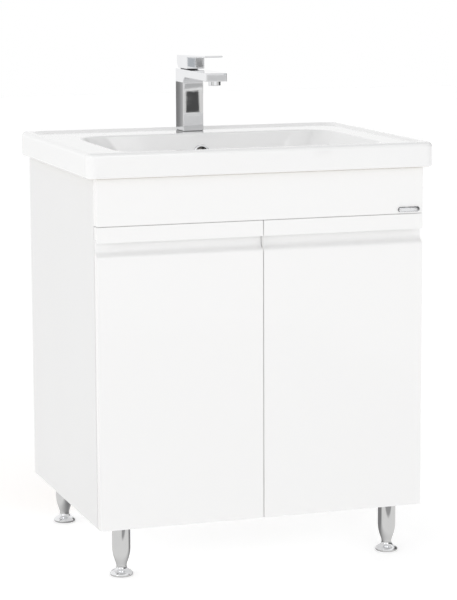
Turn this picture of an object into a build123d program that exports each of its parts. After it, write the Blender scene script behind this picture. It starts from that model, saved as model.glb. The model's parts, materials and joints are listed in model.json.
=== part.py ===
"""Bathroom vanity cabinet with a ceramic basin, a single-lever tap and a bottle trap.

Millimetres. The origin is on the floor under the middle of the unit: +X is to the
right of someone facing it, -Y is the front and +Z is up.
"""
import os

from build123d import *

os.makedirs("parts", exist_ok=True)

# ---- driving dimensions -------------------------------------------------------------
basin_width = 650.0
basin_depth = 499.0
basin_height = 45.0          # from the underside of the rim to its top
cabinet_width = 615.0
front_overhang = 12.0        # basin past the door faces
leg_height = 94.0
carcass_height = 628.5
seal_height = 1.0
board = 18.0                 # panel thickness
door_thickness = 18.0
door_gap = 2.5               # between a closed door and the carcass edges
reveal = 0.6                 # half of the gap between a door and the fascia
door_height = 544.0
lip_height = 28.0            # grip strip above the finger groove
groove_height = 29.0
groove_depth = 12.5
screw_head = 3.4
screw_shank = 1.7
low = (Align.CENTER, Align.CENTER, Align.MIN)

# ---- places worked out from them ----------------------------------------------------
back = basin_depth / 2
door_face = front_overhang - basin_depth / 2
door_back = door_face + door_thickness
carcass_front = door_back + door_gap
half_width = cabinet_width / 2
inner_half = half_width - board
carcass_bottom = leg_height
carcass_top = leg_height + carcass_height
floor_top = carcass_bottom + board
basin_bottom = carcass_top + seal_height
rim_top = basin_bottom + basin_height
door_top = carcass_bottom + door_height
lip_bottom = door_top - lip_height
groove_bottom = lip_bottom - groove_height
fascia_bottom = door_top + 2 * reveal
back_sheet = 3.0
sheet_front = back - back_sheet
sides = {"left": -1, "right": 1}


def block(x, y, z, mode=Mode.ADD):
    """Box between pairs of limits, for the part that is being built."""
    with Locations(((x[0] + x[1]) / 2, (y[0] + y[1]) / 2, (z[0] + z[1]) / 2)):
        return Box(abs(x[1] - x[0]), abs(y[1] - y[0]), z[1] - z[0], mode=mode)


def bar(point, axis, length, radius, mode=Mode.ADD):
    """Round bar that starts at a point and runs along an axis."""
    with Locations(Plane(origin=point, z_dir=axis)):
        return Cylinder(radius, length, align=low, mode=mode)


def turned(profile, x, y):
    """Closed outline of (radius, height) points turned about the upright at (x, y)."""
    with BuildSketch(Plane(origin=(x, y, 0), x_dir=(1, 0, 0), z_dir=(0, -1, 0))) as half:
        with BuildLine():
            Polyline(*profile, close=True)
        make_face()
    revolve(half.sketch, axis=Axis((x, y, 0), (0, 0, 1)))


def rounded_slab(x, y, z, radius, mode=Mode.ADD):
    """Block with rounded upright edges between pairs of limits."""
    with BuildSketch(Plane.XY.offset(z[0])) as outline:
        with Locations(((x[0] + x[1]) / 2, (y[0] + y[1]) / 2)):
            RectangleRounded(x[1] - x[0], y[1] - y[0], radius)
    extrude(outline.sketch, amount=z[1] - z[0], mode=mode)


def pan_head(point, out, radius, height=1.8):
    """Screw head with a cross recess, standing out of a face at a point."""
    plane = Plane(origin=point, z_dir=out)
    bar(point, out, height, radius)
    for turn in (0, 90):
        with BuildSketch(plane.offset(height - 0.9).rotated((0, 0, turn))) as cross:
            Rectangle(1.3 * radius, 0.8)
        extrude(cross.sketch, amount=0.9, mode=Mode.SUBTRACT)


def wood_screw(point, out, length):
    """Pan-head screw: its point under the head, its head outwards, its shank inwards."""
    pan_head(point, out, screw_head)
    bar(point, Vector(*out) * -1, length, screw_shank)


def screw_hole(point, out, depth):
    """Clearance hole through a plate, for a wood screw whose head rests at a point."""
    bar(point, Vector(*out) * -1, depth, screw_shank, mode=Mode.SUBTRACT)


# ---- carcass ------------------------------------------------------------------------
board_round = 0.8
shelf_bottom = 330.0
shelf_front = carcass_front + 27
shelf_back = sheet_front - 8
shelf_gap = 1.0
pin_radius = 2.5
pin_places = [shelf_front + 45, shelf_back - 60]
pin_height = shelf_bottom - pin_radius

for side, sign in sides.items():
    with BuildPart() as side_panel:
        block((sign * inner_half, sign * half_width), (carcass_front, back),
              (carcass_bottom, carcass_top))
        fillet(side_panel.edges(), radius=board_round)
        for y in pin_places:
            bar((sign * inner_half, y, pin_height), (sign, 0, 0), 9, pin_radius,
                mode=Mode.SUBTRACT)
    side_panel.part.label = f"side_panel_{side}"
    export_step(side_panel.part, f"parts/side_panel_{side}.step")

cam_radius = 7.5
cam_depth = 12.5
cam_inset = 24.0
cam_rows = [carcass_front + 60, back - 60]
rail_bottom = 612.0
front_rail_top = 700.0
front_rail_back = carcass_front + board
rear_rail_bottom = carcass_top - 80
rear_rail_front = sheet_front - board
front_cam_z = (rail_bottom + front_rail_top) / 2
rear_cam_z = rear_rail_bottom + 20
cam_x = inner_half - cam_inset
floor_cams = [((sign * cam_x, y, floor_top), (0, 0, 1)) for sign in (-1, 1) for y in cam_rows]
front_cams = [((sign * cam_x, front_rail_back, front_cam_z), (0, 1, 0)) for sign in (-1, 1)]
rear_cams = [((sign * cam_x, rear_rail_front, rear_cam_z), (0, -1, 0)) for sign in (-1, 1)]


def cam_pockets(cams):
    """Blind holes for the cam locks, sunk in the face that each one opens from."""
    for point, out in cams:
        bar(point, Vector(*out) * -1, cam_depth, cam_radius, mode=Mode.SUBTRACT)


with BuildPart() as bottom_panel:
    block((-inner_half, inner_half), (carcass_front, back), (carcass_bottom, floor_top))
    cam_pockets(floor_cams)
bottom_panel.part.label = "bottom_panel"
export_step(bottom_panel.part, "parts/bottom_panel.step")

with BuildPart() as front_rail:
    block((-inner_half, inner_half), (carcass_front, front_rail_back),
          (rail_bottom, front_rail_top))
    cam_pockets(front_cams)
front_rail.part.label = "front_rail"
export_step(front_rail.part, "parts/front_rail.step")

wall_slot_spacing = 400.0
wall_slot_width = 8.0
wall_slot_length = 24.0
wall_slot_z = carcass_top - 40


def wall_slots(start, depth):
    """Two level slots for the wall bolts, cut from the plane y = start to the back."""
    plane = Plane(origin=(0, start, wall_slot_z), x_dir=(-1, 0, 0), z_dir=(0, 1, 0))
    with BuildSketch(plane) as slots:
        with GridLocations(wall_slot_spacing, 0, 2, 1):
            SlotOverall(wall_slot_length, wall_slot_width)
    extrude(slots.sketch, amount=depth, mode=Mode.SUBTRACT)


with BuildPart() as rear_rail:
    block((-inner_half, inner_half), (rear_rail_front, sheet_front),
          (rear_rail_bottom, carcass_top))
    cam_pockets(rear_cams)
    wall_slots(rear_rail_front, board)
rear_rail.part.label = "rear_rail"
export_step(rear_rail.part, "parts/rear_rail.step")

service_half = 180.0         # opening in the back sheet for the pipes
service_bottom = 330.0
service_top = 625.0
with BuildPart() as back_panel:
    block((-inner_half, inner_half), (sheet_front, back), (floor_top, carcass_top))
    with BuildSketch(Plane(origin=(0, sheet_front, 0), x_dir=(-1, 0, 0),
                           z_dir=(0, 1, 0))) as opening:
        with Locations((0, (service_bottom + service_top) / 2)):
            RectangleRounded(2 * service_half, service_top - service_bottom, 25)
    extrude(opening.sketch, amount=back_sheet, mode=Mode.SUBTRACT)
    wall_slots(sheet_front, back_sheet)
back_panel.part.label = "back_panel"
export_step(back_panel.part, "parts/back_panel.step")

wall_plate_half = 24.0
wall_plate_front = rear_rail_front - 2
wall_plate_holes = [(sign * wall_slot_spacing / 2 + offset, wall_plate_front, wall_slot_z - 9)
                    for sign in (-1, 1) for offset in (-18, 18)]
with BuildPart() as wall_plates:
    for sign in sides.values():
        middle = sign * wall_slot_spacing / 2
        rounded_slab((middle - wall_plate_half, middle + wall_plate_half),
                     (wall_plate_front, rear_rail_front),
                     (wall_slot_z - 14, wall_slot_z + 14), 0.5)
    wall_slots(wall_plate_front, 2)
    for point in wall_plate_holes:
        screw_hole(point, (0, -1, 0), 2)
wall_plates.part.label = "wall_plates"
export_step(wall_plates.part, "parts/wall_plates.step")

with BuildPart() as wall_plate_screws:
    for point in wall_plate_holes:
        wood_screw(point, (0, -1, 0), 14)
wall_plate_screws.part.label = "wall_plate_screws"
export_step(wall_plate_screws.part, "parts/wall_plate_screws.step")

with BuildPart() as cam_locks:
    for point, out in floor_cams + front_cams + rear_cams:
        face = Plane(origin=point, z_dir=out)
        bar(point, Vector(*out) * -1, cam_depth, cam_radius)
        for turn in (0, 90):
            with BuildSketch(face.offset(-2.5).rotated((0, 0, turn))) as cross:
                Rectangle(9, 1.6)
            extrude(cross.sketch, amount=2.5, mode=Mode.SUBTRACT)
cam_locks.part.label = "cam_locks"
export_step(cam_locks.part, "parts/cam_locks.step")

with BuildPart() as shelf:
    block((-inner_half + shelf_gap, inner_half - shelf_gap), (shelf_front, shelf_back),
          (shelf_bottom, shelf_bottom + board))
    fillet(shelf.edges(), radius=board_round)
shelf.part.label = "shelf"
export_step(shelf.part, "parts/shelf.step")

with BuildPart() as shelf_pins:
    for sign in sides.values():
        for y in pin_places:
            bar((sign * (inner_half + 8.5), y, pin_height), (-sign, 0, 0), 18, pin_radius)
shelf_pins.part.label = "shelf_pins"
export_step(shelf_pins.part, "parts/shelf_pins.step")

with BuildPart() as fascia_panel:
    block((-half_width, half_width), (door_face, carcass_front), (fascia_bottom, carcass_top))
    fillet(fascia_panel.edges(), radius=1.0)
fascia_panel.part.label = "fascia_panel"
export_step(fascia_panel.part, "parts/fascia_panel.step")

# Plain oval plate: a raised rim round a sunk field with one oval boss.
badge_width = 42.5
badge_height = 9.0
badge_rim = 1.1
badge_field = 1.0            # thickness of the plate under the sunk field
badge_x = half_width - 6.8 - badge_width / 2
badge_z = fascia_bottom + 3 + badge_height / 2
badge_face = Plane(origin=(badge_x, door_face, badge_z), x_dir=(1, 0, 0), z_dir=(0, -1, 0))
with BuildPart() as badge:
    with BuildSketch(badge_face):
        SlotOverall(badge_width, badge_height)
    extrude(amount=badge_field + 0.8)
    with BuildSketch(badge_face.offset(badge_field)):
        SlotOverall(badge_width - 2 * badge_rim, badge_height - 2 * badge_rim)
    extrude(amount=0.8, mode=Mode.SUBTRACT)
    with BuildSketch(badge_face.offset(badge_field)):
        with Locations((-13, 0)):
            Ellipse(4.6, 2.2)
    extrude(amount=0.6)
badge.part.label = "badge"
export_step(badge.part, "parts/badge.step")

# ---- doors and their gooseneck hinges -----------------------------------------------
hinge_heights = [184.0, 520.0]
cup_radius = 17.5
cup_wall = 0.8
cup_depth = 13.0
cup_inset = 20.5             # cup centre from the door's outer edge
pivot_inset = 7.0            # pivot from the door's outer edge
pivot_depth = 9.0            # pivot behind the door's face
knuckle_radius = 2.4
knuckle_half = 4.2
hinge_pin_radius = 1.25
hinge_clearance = 0.05
arm_half = 7.0               # half of the arm's width
arm_thickness = 4.5
arm_length = 62.0
neck_half = 5.0              # the neck is narrower, to turn inside the round cup
neck_thickness = 3.4
arm_gap = 3.0                # mounting plate's thickness
plate_screw_rise = 16.0
pivot_x = half_width - pivot_inset
pivot_y = door_face + pivot_depth
cup_x = half_width - cup_inset
cup_bottom = door_back - cup_depth
cup_screw_row = cup_x - 6
cup_screw_rise = 24.0
hinge_pin_half = 9.3
bumper_heights = [carcass_bottom + 9, door_top - 8]
centre_gap = 1.0             # half of the gap between the doors

with BuildPart() as groove_cutter:
    with BuildSketch(Plane.YZ.offset(-half_width - 1)):
        with BuildLine():
            floor = door_face + groove_depth
            Line((door_face - 5, groove_bottom), (door_face, groove_bottom))
            Spline((door_face, groove_bottom), (floor, groove_bottom + 16),
                   tangents=[(0, 1), (0, 1)])
            Line((floor, groove_bottom + 16), (floor, lip_bottom + 2.5))
            ThreePointArc((floor, lip_bottom + 2.5), (floor - 4, lip_bottom + 6.5),
                          (floor - 8, lip_bottom + 2.5))
            ThreePointArc((floor - 8, lip_bottom + 2.5), (floor - 8.8, lip_bottom + 0.7),
                          (floor - 10.5, lip_bottom))
            Line((floor - 10.5, lip_bottom), (door_face, lip_bottom))
            Line((door_face, lip_bottom), (door_face - 5, lip_bottom))
            Line((door_face - 5, lip_bottom), (door_face - 5, groove_bottom))
        make_face()
    extrude(amount=cabinet_width + 2)

for side, sign in sides.items():
    with BuildPart() as door:
        block((sign * centre_gap, sign * half_width), (door_face, door_back),
              (carcass_bottom, door_top))
        hinge_edge = door.edges().filter_by(Axis.Z).group_by(Axis.Y)[-1]
        hinge_edge = hinge_edge.sort_by(Axis.X)[0 if sign < 0 else -1]
        fillet(hinge_edge, radius=2.0)
        fillet(door.edges().filter_by(Axis.X), radius=0.8)
        add(groove_cutter.part, mode=Mode.SUBTRACT)
        for z in hinge_heights:
            bar((sign * cup_x, cup_bottom, z), (0, 1, 0), cup_depth + 1, cup_radius,
                mode=Mode.SUBTRACT)
    door.part.label = f"door_{side}"
    export_step(door.part, f"parts/door_{side}.step")

    with BuildPart() as hinge_cups:
        for z in hinge_heights:
            bar((sign * cup_x, cup_bottom, z), (0, 1, 0), cup_depth + 1, cup_radius)
            with BuildSketch(Plane(origin=(sign * cup_screw_row, door_back, z),
                                   x_dir=(0, 0, 1), z_dir=(0, 1, 0))) as wings:
                SlotOverall(64, 15)
            extrude(wings.sketch, amount=1)
            bar((sign * cup_x, cup_bottom + cup_wall, z), (0, 1, 0), cup_depth + 1,
                cup_radius - cup_wall, mode=Mode.SUBTRACT)
            bar((sign * pivot_x, pivot_y, z - hinge_pin_half), (0, 0, 1), 2 * hinge_pin_half,
                hinge_pin_radius, mode=Mode.SUBTRACT)
            for rise in (-cup_screw_rise, cup_screw_rise):
                screw_hole((sign * cup_screw_row, door_back + 1, z + rise), (0, 1, 0), 1)
    hinge_cups.part.label = f"hinge_cups_{side}"
    export_step(hinge_cups.part, f"parts/hinge_cups_{side}.step")

    with BuildPart() as hinge_pins:
        for z in hinge_heights:
            bar((sign * pivot_x, pivot_y, z - hinge_pin_half), (0, 0, 1), 2 * hinge_pin_half,
                hinge_pin_radius)
    hinge_pins.part.label = f"hinge_pins_{side}"
    export_step(hinge_pins.part, f"parts/hinge_pins_{side}.step")

    with BuildPart() as hinge_cup_screws:
        for z in hinge_heights:
            for rise in (-cup_screw_rise, cup_screw_rise):
                wood_screw((sign * cup_screw_row, door_back + 1, z + rise), (0, 1, 0), 11)
    hinge_cup_screws.part.label = f"hinge_cup_screws_{side}"
    export_step(hinge_cup_screws.part, f"parts/hinge_cup_screws_{side}.step")

    with BuildPart() as door_bumpers:
        for z in bumper_heights:
            bar((sign * 14, door_back, z), (0, 1, 0), 2.2, 4)
        fillet(door_bumpers.faces().group_by(Axis.Y)[-1].edges(), radius=1.0)
    door_bumpers.part.label = f"door_bumpers_{side}"
    export_step(door_bumpers.part, f"parts/door_bumpers_{side}.step")

arm_outer = inner_half - arm_gap
arm_inner = arm_outer - arm_thickness
neck_front = pivot_y - knuckle_radius
with BuildPart() as hinge_arms:
    for sign in sides.values():
        for z in hinge_heights:
            block((sign * arm_inner, sign * arm_outer), (neck_front, carcass_front + arm_length),
                  (z - arm_half, z + arm_half))
            block((sign * arm_inner, sign * pivot_x), (neck_front, neck_front + neck_thickness),
                  (z - neck_half, z + neck_half))
            bar((sign * pivot_x, pivot_y, z - knuckle_half), (0, 0, 1), 2 * knuckle_half,
                knuckle_radius)
            bar((sign * pivot_x, pivot_y, z - arm_half), (0, 0, 1), 2 * arm_half,
                hinge_pin_radius + hinge_clearance, mode=Mode.SUBTRACT)
hinge_arms.part.label = "hinge_arms"
export_step(hinge_arms.part, "parts/hinge_arms.step")

with BuildPart() as hinge_plates:
    for sign in sides.values():
        for z in hinge_heights:
            block((sign * arm_outer, sign * inner_half),
                  (carcass_front + 6, carcass_front + 66), (z - 9, z + 9))
            block((sign * arm_outer, sign * inner_half),
                  (carcass_front + 9, carcass_front + 25), (z - 24, z + 24))
            for rise in (-plate_screw_rise, plate_screw_rise):
                screw_hole((sign * arm_outer, carcass_front + 17, z + rise), (-sign, 0, 0),
                           arm_gap)
hinge_plates.part.label = "hinge_plates"
export_step(hinge_plates.part, "parts/hinge_plates.step")

with BuildPart() as hinge_plate_screws:
    for sign in sides.values():
        for z in hinge_heights:
            for rise in (-plate_screw_rise, plate_screw_rise):
                wood_screw((sign * arm_outer, carcass_front + 17, z + rise), (-sign, 0, 0), 14)
            pan_head((sign * arm_inner, carcass_front + 46, z), (-sign, 0, 0), screw_head)
hinge_plate_screws.part.label = "hinge_plate_screws"
export_step(hinge_plate_screws.part, "parts/hinge_plate_screws.step")

# ---- legs and levelling feet --------------------------------------------------------
leg_x = 258.0
leg_front_y = door_face + 41.5
leg_rear_y = door_face + 450.5
leg_places = {"front_left": (-leg_x, leg_front_y), "front_right": (leg_x, leg_front_y),
              "rear_left": (-leg_x, leg_rear_y), "rear_right": (leg_x, leg_rear_y)}
plate_bottom = carcass_bottom - 2
foot_split = 18.0            # height where a foot meets its leg
stud_radius = 4.0
stud_bore = stud_radius + 0.05
stud_top = 56.0
bore_top = 60.0
leg_screws = [(x + dx, y + dy, plate_bottom) for x, y in leg_places.values()
              for dx in (-19, 19) for dy in (-19, 19)]

with BuildPart() as leg_plates:
    for x, y in leg_places.values():
        rounded_slab((x - 26, x + 26), (y - 26, y + 26), (plate_bottom, carcass_bottom), 8)
    for point in leg_screws:
        screw_hole(point, (0, 0, -1), 2)
leg_plates.part.label = "leg_plates"
export_step(leg_plates.part, "parts/leg_plates.step")

with BuildPart() as leg_plate_screws:
    for point in leg_screws:
        wood_screw(point, (0, 0, -1), 14)
leg_plate_screws.part.label = "leg_plate_screws"
export_step(leg_plate_screws.part, "parts/leg_plate_screws.step")

for place, (x, y) in leg_places.items():
    upright = Plane(origin=(x, y, 0), x_dir=(1, 0, 0), z_dir=(0, -1, 0))
    with BuildPart() as leg:
        with BuildSketch(upright):
            with BuildLine():
                Line((0, plate_bottom), (16.5, plate_bottom))
                Line((16.5, plate_bottom), (16.5, 54))
                Spline((16.5, 54), (15.4, 41), (12.2, 29), (9.5, 20.5), (9.3, foot_split),
                       tangents=[(0, -1), (0, -1)])
                Line((9.3, foot_split), (0, foot_split))
                Line((0, foot_split), (0, plate_bottom))
            make_face()
        revolve(axis=Axis((x, y, 0), (0, 0, 1)))
        bar((x, y, foot_split), (0, 0, 1), bore_top - foot_split, stud_bore,
            mode=Mode.SUBTRACT)
    leg.part.label = f"leg_{place}"
    export_step(leg.part, f"parts/leg_{place}.step")

    with BuildPart() as foot:
        with BuildSketch(upright):
            with BuildLine():
                Line((0, 0), (18.0, 0))
                ThreePointArc((18.0, 0), (20.3, 1.2), (21.0, 4.0))
                Spline((21.0, 4.0), (17.6, 8.2), (11.6, 11.8), (9.3, foot_split - 0.3),
                       tangents=[(-0.6, 1), (0, 1)])
                Line((9.3, foot_split - 0.3), (stud_radius, foot_split - 0.3))
                Line((stud_radius, foot_split - 0.3), (stud_radius, stud_top))
                Line((stud_radius, stud_top), (0, stud_top))
                Line((0, stud_top), (0, 0))
            make_face()
        revolve(axis=Axis((x, y, 0), (0, 0, 1)))
    foot.part.label = f"foot_{place}"
    export_step(foot.part, f"parts/foot_{place}.step")

# ---- basin --------------------------------------------------------------------------
deck_drop = 3.5              # the shelves and tap deck lie this far below the rim
deck = rim_top - deck_drop
deck_thickness = 12.0
deck_under = deck - deck_thickness
rim_inset = 14.0             # from the basin's edge to the top of the recess
recess_run = 8.0             # the recess slopes down over this width
recess_corner = 46.0
skirt = 28.0
wall = 8.0
bowl_floor = deck - 120
drain_y = door_face + 215
drain_bore = 23.0
tap_y = door_face + 431.5
tap_hole = 17.5
overflow_drop = 38.0
overflow_radius = 13.8       # hole in the bowl's rear wall
overflow_ring_radius = 16.0
rear_slope = 10 / 39         # run over drop of the bowl's rear wall

# half width, front, rear (behind the door faces), corner radius and drop from the deck
bowl_sections = [(252, 22, 366, 62, 0), (226, 48, 356, 66, 39), (194, 86, 341, 70, 86),
                 (152, 122, 318, 66, 114), (112, 150, 288, 56, 120)]
mouth_half, mouth_front, mouth_rear = bowl_sections[0][:3]
mouth_round = 5.0


def bowl(grow, drop, mode):
    """Bowl-shaped loft, grown sideways and lowered from the inside surface."""
    outlines = []
    for half, front, rear, radius, depth in bowl_sections:
        with BuildSketch(Plane.XY.offset(deck - depth - drop)) as outline:
            with Locations((0, door_face + (front + rear) / 2)):
                RectangleRounded(2 * (half + grow), rear - front + 2 * grow, radius + grow)
        outlines.append(outline.sketch)
    loft(outlines, mode=mode)


overflow_y = door_face + mouth_rear - rear_slope * overflow_drop
overflow_plane = Plane(origin=(0, overflow_y, deck - overflow_drop), x_dir=(1, 0, 0),
                       z_dir=(0, -1, rear_slope))

with BuildPart() as basin:
    rounded_slab((-basin_width / 2, basin_width / 2), (-back, back), (basin_bottom, rim_top), 16)
    fillet(basin.faces().sort_by(Axis.Z)[-1].edges(), radius=8)
    fillet(basin.faces().sort_by(Axis.Z)[0].edges(), radius=4)
    recess_outlines = []
    for height, inset in ((rim_top, rim_inset), (deck, rim_inset + recess_run)):
        with BuildSketch(Plane.XY.offset(height)) as outline:
            RectangleRounded(basin_width - 2 * inset, basin_depth - 2 * inset,
                             recess_corner - inset)
        recess_outlines.append(outline.sketch)
    loft(recess_outlines, ruled=True, mode=Mode.SUBTRACT)
    rounded_slab((-basin_width / 2 + skirt, basin_width / 2 - skirt),
                 (-back + skirt, back - skirt), (basin_bottom, deck_under), 12, Mode.SUBTRACT)
    bowl(wall, wall, Mode.ADD)
    bar((0, drain_y, bowl_floor - 22), (0, 0, 1), 20, 34)
    bar((0, overflow_y, deck - overflow_drop), (0, 1, -rear_slope), 22, overflow_radius + 7)
    bowl(0, 0, Mode.SUBTRACT)
    mouth = (basin.edges().filter_by_position(Axis.Z, deck - 0.1, deck + 0.1)
             .filter_by_position(Axis.X, -mouth_half - 1, mouth_half + 1)
             .filter_by_position(Axis.Y, door_face + mouth_front - 1, door_face + mouth_rear + 1))
    fillet(mouth, radius=mouth_round)
    bar((0, drain_y, bowl_floor - 30), (0, 0, 1), 40, drain_bore, mode=Mode.SUBTRACT)
    bar((0, drain_y, bowl_floor - 3), (0, 0, 1), 4, 33, mode=Mode.SUBTRACT)
    bar((0, tap_y, deck_under - 1), (0, 0, 1), deck_thickness + 2, tap_hole,
        mode=Mode.SUBTRACT)
    with BuildSketch(overflow_plane.offset(-24)) as overflow_hole:
        Circle(overflow_radius)
    extrude(overflow_hole.sketch, amount=40, mode=Mode.SUBTRACT)
basin.part.label = "basin"
export_step(basin.part, "parts/basin.step")

seal_ring = 5.0
with BuildPart() as basin_seal:
    rounded_slab((-half_width + 2.5, half_width - 2.5), (door_face + 4, back - 6),
                 (carcass_top, basin_bottom), 10)
    rounded_slab((-half_width + 2.5 + seal_ring, half_width - 2.5 - seal_ring),
                 (door_face + 4 + seal_ring, back - 6 - seal_ring),
                 (carcass_top, basin_bottom), 6, Mode.SUBTRACT)
basin_seal.part.label = "basin_seal"
export_step(basin_seal.part, "parts/basin_seal.step")

ring_lift = 0.2              # the ring stands this far off the glaze
with BuildPart() as overflow_ring:
    with BuildSketch(overflow_plane.offset(ring_lift)):
        Circle(overflow_ring_radius)
    extrude(amount=2.2)
    fillet(overflow_ring.faces().sort_by(Axis(overflow_plane.origin,
           overflow_plane.z_dir))[-1].edges(), radius=1.6)
    with BuildSketch(overflow_plane.offset(ring_lift - 14)):
        Circle(overflow_radius - 0.1)
    extrude(amount=14)
    with BuildSketch(overflow_plane.offset(ring_lift - 14)):
        Circle(overflow_radius - 1.2)
    extrude(amount=20, mode=Mode.SUBTRACT)
overflow_ring.part.label = "overflow_ring"
export_step(overflow_ring.part, "parts/overflow_ring.step")

# ---- waste: flange, tail, nut and push-open plug ------------------------------------
flange_seat = bowl_floor - 3
tail_radius = 20.9
tail_bore = 18.5
tail_end = bowl_floor - 84
boss_under = bowl_floor - 22
flange_top = flange_seat + 4
guide_radius = 4.0
guide_gap = 0.05

with BuildPart() as waste_gaskets:
    for height, outer in ((flange_seat, 31), (boss_under - 3, 30)):
        thickness = 1 if height == flange_seat else 3
        bar((0, drain_y, height), (0, 0, 1), thickness, outer)
        bar((0, drain_y, height), (0, 0, 1), thickness, tail_radius, mode=Mode.SUBTRACT)
waste_gaskets.part.label = "waste_gaskets"
export_step(waste_gaskets.part, "parts/waste_gaskets.step")

with BuildPart() as waste_body:
    turned([(tail_bore, tail_end), (tail_radius, tail_end), (tail_radius, flange_seat + 1),
            (31.5, flange_seat + 1), (31.5, flange_top - 1), (27, flange_top),
            (24, flange_top - 0.3), (21.5, flange_top - 1.4), (tail_bore, flange_top - 6)],
           0, drain_y)
    for turn in range(3):
        with BuildSketch(Plane.XY.offset(flange_seat - 14)) as spoke:
            with Locations(Location((0, drain_y), 60 * turn)):
                Rectangle(2 * tail_bore + 1, 2.4)
        extrude(spoke.sketch, amount=8)
    bar((0, drain_y, flange_seat - 14), (0, 0, 1), 8, guide_radius + 2.4)
    bar((0, drain_y, flange_seat - 14), (0, 0, 1), 8, guide_radius + guide_gap,
        mode=Mode.SUBTRACT)
waste_body.part.label = "waste_body"
export_step(waste_body.part, "parts/waste_body.step")

with BuildPart() as waste_nut:
    with BuildSketch(Plane.XY.offset(boss_under - 13)):
        with Locations((0, drain_y)):
            RegularPolygon(29, 6)
            Circle(tail_radius, mode=Mode.SUBTRACT)
    extrude(amount=10)
waste_nut.part.label = "waste_nut"
export_step(waste_nut.part, "parts/waste_nut.step")

plug_lift = 0.3
plug_under = flange_top + plug_lift
with BuildPart() as waste_plug:
    turned([(0, flange_seat - 20), (guide_radius, flange_seat - 20),
            (guide_radius, plug_under), (29, plug_under), (30, plug_under + 1.2),
            (27, plug_under + 3.4), (18, plug_under + 5), (0, plug_under + 6)], 0, drain_y)
waste_plug.part.label = "waste_plug"
export_step(waste_plug.part, "parts/waste_plug.step")

# ---- bottle trap --------------------------------------------------------------------
pipe_radius = 16.0
pipe_bore = 14.4
trap_radius = 30.0
trap_top = 506.0
trap_split = 424.0
outlet_z = 466.0

with BuildPart() as trap_inlet_pipe:
    turned([(pipe_bore, trap_split + 14), (pipe_radius, trap_split + 14),
            (pipe_radius, tail_end - 4), (22.5, tail_end - 4), (22.5, tail_end),
            (pipe_bore, tail_end)], 0, drain_y)
trap_inlet_pipe.part.label = "trap_inlet_pipe"
export_step(trap_inlet_pipe.part, "parts/trap_inlet_pipe.step")

with BuildPart() as trap_inlet_nut:
    turned([(pipe_radius, tail_end - 8), (25.5, tail_end - 8), (27.5, tail_end - 5),
            (27.5, tail_end + 18), (26.5, tail_end + 19), (tail_radius, tail_end + 19),
            (tail_radius, tail_end + 0.2), (22.7, tail_end), (22.7, tail_end - 4.2),
            (pipe_radius, tail_end - 4.2)], 0, drain_y)
trap_inlet_nut.part.label = "trap_inlet_nut"
export_step(trap_inlet_nut.part, "parts/trap_inlet_nut.step")

with BuildPart() as trap_body:
    turned([(pipe_radius, trap_top + 14), (23, trap_top + 14), (24, trap_top + 13),
            (24, trap_top), (trap_radius, trap_top - 8), (trap_radius, trap_split),
            (trap_radius - 2.5, trap_split), (trap_radius - 2.5, trap_top - 9),
            (20, trap_top - 3), (pipe_radius, trap_top - 3)], 0, drain_y)
    bar((0, drain_y + trap_radius - 8, outlet_z), (0, 1, 0), 20, 20)
    bar((0, drain_y + trap_radius - 8, outlet_z), (0, 1, 0), 22, pipe_bore,
        mode=Mode.SUBTRACT)
    bar((0, drain_y, trap_split), (0, 0, 1), trap_top - trap_split - 9, trap_radius - 2.5,
        mode=Mode.SUBTRACT)
trap_body.part.label = "trap_body"
export_step(trap_body.part, "parts/trap_body.step")

with BuildPart() as trap_cup:
    turned([(0, trap_split - 34), (16, trap_split - 34), (26, trap_split - 30),
            (32, trap_split - 20), (33.5, trap_split - 16), (33.5, trap_split + 8),
            (trap_radius, trap_split + 8), (trap_radius, trap_split),
            (trap_radius - 2.5, trap_split), (trap_radius - 2.5, trap_split - 18),
            (23, trap_split - 27), (14, trap_split - 31), (0, trap_split - 31)], 0, drain_y)
trap_cup.part.label = "trap_cup"
export_step(trap_cup.part, "parts/trap_cup.step")

outlet_stub_end = drain_y + trap_radius + 12
with BuildPart() as trap_outlet_nut:
    bar((0, outlet_stub_end - 10, outlet_z), (0, 1, 0), 22, 25)
    fillet(trap_outlet_nut.edges(), radius=1.5)
    bar((0, outlet_stub_end - 11, outlet_z), (0, 1, 0), 11, 20, mode=Mode.SUBTRACT)
    bar((0, outlet_stub_end - 1, outlet_z), (0, 1, 0), 14, pipe_radius, mode=Mode.SUBTRACT)
trap_outlet_nut.part.label = "trap_outlet_nut"
export_step(trap_outlet_nut.part, "parts/trap_outlet_nut.step")

outlet_shoulder = outlet_stub_end + 14
with BuildPart() as trap_outlet_pipe:
    bar((0, outlet_stub_end, outlet_z), (0, 1, 0), outlet_shoulder - outlet_stub_end,
        pipe_radius - 0.3)
    bar((0, outlet_shoulder, outlet_z), (0, 1, 0), back - outlet_shoulder, pipe_radius)
    bar((0, outlet_stub_end, outlet_z), (0, 1, 0), back - outlet_stub_end, pipe_bore,
        mode=Mode.SUBTRACT)
trap_outlet_pipe.part.label = "trap_outlet_pipe"
export_step(trap_outlet_pipe.part, "parts/trap_outlet_pipe.step")

# ---- tap ----------------------------------------------------------------------------
gasket_height = 1.0
tap_base = deck + gasket_height
column_half = 20.5
column_front = door_face + 407
column_back = door_face + 456
spout_under = deck + 104
spout_top = deck + 119.5
spout_front = door_face + 262
aerator_y = door_face + 275
aerator_radius = 12.0
cartridge_radius = 17.4
cartridge_top = spout_top - 5
stem_top = spout_top + 1.2
lever_under = spout_top + 1.6
lever_top = lever_under + 24
lever_half = 17.5
lever_front = door_face + 391
lever_plate_front = door_face + 280
tilt_y = door_face + 444
tilt_z = lever_under + 7.4
tilt_pin = 2.0
inlet_radius = 4.3
inlet_depth = 12.0
stud_y = tap_y + 11
tap_stud = 4.0

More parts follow.
